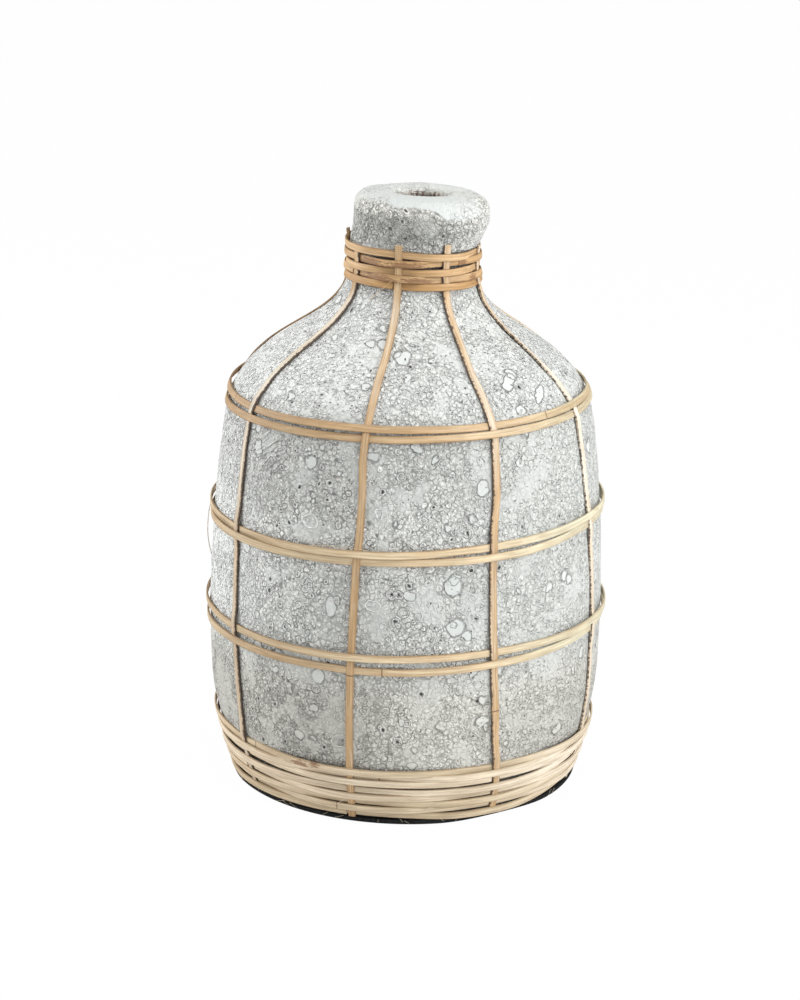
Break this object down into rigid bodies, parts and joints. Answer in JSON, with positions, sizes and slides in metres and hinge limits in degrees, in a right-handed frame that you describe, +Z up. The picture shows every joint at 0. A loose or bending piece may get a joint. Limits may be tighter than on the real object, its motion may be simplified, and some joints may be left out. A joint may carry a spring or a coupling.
{
  "type": "cane-wrapped vase",
  "caption": "Bottle-shaped rough-glazed vase with a rolled lip and small mouth, wrapped in an open cage of woven flat cane.",
  "frame": {"origin": "centre of the underside, where the base pad meets the table, on the axis that the body is turned about", "axes": "+Z up along the turned body's axis to the mouth; -Y is the side seen in the picture"},
  "size_m": [0.2152, 0.2157, 0.3113],
  "materials": {
    "volcanic_glaze": "rough light grey crater glaze over terracotta, matt with a faint sheen",
    "pad_felt": "near-black felt",
    "rib_cane": "split cane, straw coloured, satin",
    "neck_cane": "split cane, warm tan, satin",
    "hoop_cane": "split cane, straw coloured, satin",
    "base_cane": "split cane, pale straw, satin"
  },
  "bodies": {
    "root": {"vase_body": "volcanic_glaze", "base_pad": "pad_felt", "rib_1": "rib_cane", "rib_2": "rib_cane", "rib_3": "rib_cane", "rib_4": "rib_cane", "rib_5": "rib_cane", "rib_6": "rib_cane", "rib_7": "rib_cane", "rib_8": "rib_cane", "neck_row_1": "neck_cane", "neck_row_2": "neck_cane", "neck_row_3": "neck_cane", "neck_row_4": "neck_cane", "neck_row_5": "neck_cane", "shoulder_hoop_upper": "hoop_cane", "shoulder_hoop_lower": "hoop_cane", "middle_hoop_upper": "hoop_cane", "middle_hoop_lower": "hoop_cane", "lower_hoop_upper": "hoop_cane", "lower_hoop_lower": "hoop_cane", "base_row_1": "base_cane", "base_row_2": "base_cane", "base_row_3": "base_cane", "base_row_4": "base_cane", "base_row_5": "base_cane", "base_row_6": "base_cane", "base_row_7": "base_cane", "base_row_8": "base_cane"}
  },
  "joints": []
}
